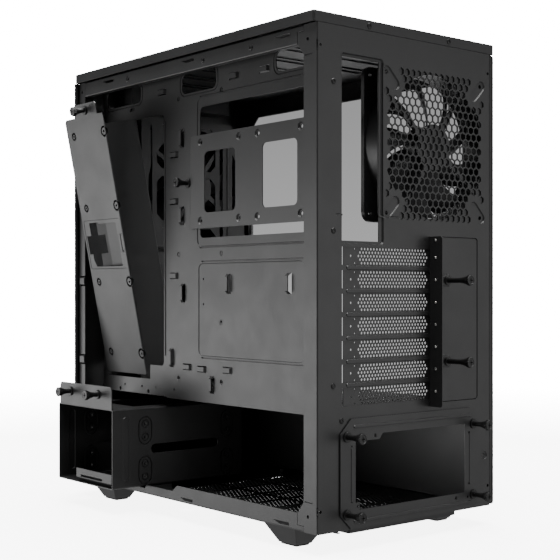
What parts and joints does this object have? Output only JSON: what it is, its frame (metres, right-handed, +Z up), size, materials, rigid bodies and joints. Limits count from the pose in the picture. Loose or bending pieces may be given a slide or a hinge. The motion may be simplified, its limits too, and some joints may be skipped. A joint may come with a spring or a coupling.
{
  "type": "desktop computer tower",
  "caption": "Black steel desktop computer tower, open on its cable side, with a tilting cable cover, slide-out drive cage, fans, glass side and removable front.",
  "frame": {"origin": "middle of the ground footprint of the whole object, on the ground", "axes": "+Z up, -Y towards the front panel, +Y towards the back with the slots, +X towards the open cable side, -X towards the glass"},
  "size_m": [0.281, 0.4456, 0.4633],
  "materials": {
    "case_steel": "fine-grained matte black powder coat on folded steel sheet",
    "cover_steel": "matte black powder coat",
    "tinted_glass": "grey tinted toughened glass, polished",
    "front_plastic": "fine-grained matte black moulding",
    "fan_plastic": "satin black moulding",
    "foot_plastic": "matte black moulding",
    "rubber_pad": "matte black rubber",
    "black_screw": "black oxide steel, slightly glossy",
    "filter_mesh": "fine black woven plastic mesh in a thin frame"
  },
  "bodies": {
    "chassis": {"chassis_floor": "case_steel", "rear_panel": "case_steel", "top_frame": "case_steel", "front_frame": "case_steel", "motherboard_tray": "case_steel", "psu_shroud": "case_steel", "top_cover": "cover_steel", "front_filter": "filter_mesh", "glass_carrier": "case_steel", "glass_panel": "tinted_glass", "port_module": "front_plastic", "rear_fan_frame": "fan_plastic", "front_fan_lower_frame": "fan_plastic", "front_fan_upper_frame": "fan_plastic", "fan_bracket": "case_steel", "slot_cover_1": "case_steel", "slot_cover_2": "case_steel", "slot_cover_3": "case_steel", "slot_cover_4": "case_steel", "slot_cover_5": "case_steel", "slot_cover_6": "case_steel", "slot_cover_7": "case_steel", "slot_side_plate": "case_steel", "psu_bracket": "case_steel", "ssd_plate": "case_steel", "foot_front_right": "foot_plastic", "foot_rear_right": "foot_plastic", "foot_front_left": "foot_plastic", "foot_rear_left": "foot_plastic", "foot_pad_front_right": "rubber_pad", "foot_pad_rear_right": "rubber_pad", "foot_pad_front_left": "rubber_pad", "foot_pad_rear_left": "rubber_pad"},
    "front_panel": {"front_panel": "front_plastic"},
    "hdd_cage": {"hdd_cage": "case_steel"},
    "cable_cover": {"cable_cover": "case_steel"},
    "rear_fan": {"rear_fan_rotor": "fan_plastic"},
    "front_fan_lower": {"front_fan_lower_rotor": "fan_plastic"},
    "front_fan_upper": {"front_fan_upper_rotor": "fan_plastic"},
    "power_button": {"power_button": "front_plastic"},
    "reset_button": {"reset_button": "front_plastic"},
    "psu_filter": {"psu_filter": "filter_mesh"},
    "cable_cover_screw": {"cable_cover_screw": "black_screw"},
    "cage_screw_front": {"cage_screw_front": "black_screw"},
    "cage_screw_back": {"cage_screw_back": "black_screw"},
    "tray_screw": {"tray_screw": "black_screw"},
    "side_plate_screw_upper": {"side_plate_screw_upper": "black_screw"},
    "side_plate_screw_lower": {"side_plate_screw_lower": "black_screw"},
    "psu_screw_upper_left": {"psu_screw_upper_left": "black_screw"},
    "psu_screw_upper_right": {"psu_screw_upper_right": "black_screw"},
    "psu_screw_lower_left": {"psu_screw_lower_left": "black_screw"},
    "psu_screw_lower_right": {"psu_screw_lower_right": "black_screw"}
  },
  "joints": [
    {"name": "hdd_cage_slide", "type": "slide", "parent": "chassis", "child": "hdd_cage", "axis": [1, 0, 0], "range_m": [-0.0598, 0.13]},
    {"name": "cable_cover_tilt", "type": "hinge", "parent": "chassis", "child": "cable_cover", "pos_m": [0.0652, -0.1416, 0.1371], "axis": [0, 1, 0], "range_deg": [-11.3, 60]},
    {"name": "front_panel_pull", "type": "slide", "parent": "chassis", "child": "front_panel", "axis": [0, -1, 0], "range_m": [0, 0.06]},
    {"name": "psu_filter_slide", "type": "slide", "parent": "chassis", "child": "psu_filter", "axis": [0, 1, 0], "range_m": [0, 0.25]},
    {"name": "power_button_press", "type": "slide", "parent": "chassis", "child": "power_button", "axis": [0, 0, -1], "range_m": [0, 0.0015], "stiffness_N_per_m": 400, "springref_m": -0.001},
    {"name": "reset_button_press", "type": "slide", "parent": "chassis", "child": "reset_button", "axis": [0, 0, -1], "range_m": [0, 0.0015], "stiffness_N_per_m": 300, "springref_m": -0.001},
    {"name": "rear_fan_spin", "type": "hinge", "parent": "chassis", "child": "rear_fan", "pos_m": [-0.0583, 0.1752, 0.3573], "axis": [0, 1, 0], "continuous": true},
    {"name": "front_fan_lower_spin", "type": "hinge", "parent": "chassis", "child": "front_fan_lower", "pos_m": [-0.0525, -0.1928, 0.1987], "axis": [0, 1, 0], "continuous": true},
    {"name": "front_fan_upper_spin", "type": "hinge", "parent": "chassis", "child": "front_fan_upper", "pos_m": [-0.0525, -0.1928, 0.3447], "axis": [0, 1, 0], "continuous": true},
    {"name": "cable_cover_screw_turn", "type": "hinge", "parent": "cable_cover", "child": "cable_cover_screw", "pos_m": [0.12055, -0.1358, 0.41259], "axis": [0.9806, 0, -0.1959], "continuous": true},
    {"name": "cage_screw_front_turn", "type": "hinge", "parent": "hdd_cage", "child": "cage_screw_front", "pos_m": [0.125, -0.1568, 0.1197], "axis": [1, 0, 0], "continuous": true},
    {"name": "cage_screw_back_turn", "type": "hinge", "parent": "hdd_cage", "child": "cage_screw_back", "pos_m": [0.125, -0.1023, 0.1197], "axis": [1, 0, 0], "continuous": true},
    {"name": "tray_screw_turn", "type": "hinge", "parent": "chassis", "child": "tray_screw", "pos_m": [0.0638, -0.0304, 0.3327], "axis": [1, 0, 0], "continuous": true},
    {"name": "side_plate_screw_upper_turn", "type": "hinge", "parent": "chassis", "child": "side_plate_screw_upper", "pos_m": [-0.0725, 0.1938, 0.2347], "axis": [0, 1, 0], "continuous": true},
    {"name": "side_plate_screw_lower_turn", "type": "hinge", "parent": "chassis", "child": "side_plate_screw_lower", "pos_m": [-0.0725, 0.1938, 0.1597], "axis": [0, 1, 0], "continuous": true},
    {"name": "psu_screw_upper_left_turn", "type": "hinge", "parent": "chassis", "child": "psu_screw_upper_left", "pos_m": [0.0545, 0.1938, 0.0992], "axis": [0, 1, 0], "continuous": true},
    {"name": "psu_screw_upper_right_turn", "type": "hinge", "parent": "chassis", "child": "psu_screw_upper_right", "pos_m": [-0.1085, 0.1938, 0.0992], "axis": [0, 1, 0], "continuous": true},
    {"name": "psu_screw_lower_left_turn", "type": "hinge", "parent": "chassis", "child": "psu_screw_lower_left", "pos_m": [0.0545, 0.1938, 0.0322], "axis": [0, 1, 0], "continuous": true},
    {"name": "psu_screw_lower_right_turn", "type": "hinge", "parent": "chassis", "child": "psu_screw_lower_right", "pos_m": [-0.1085, 0.1938, 0.0322], "axis": [0, 1, 0], "continuous": true}
  ]
}
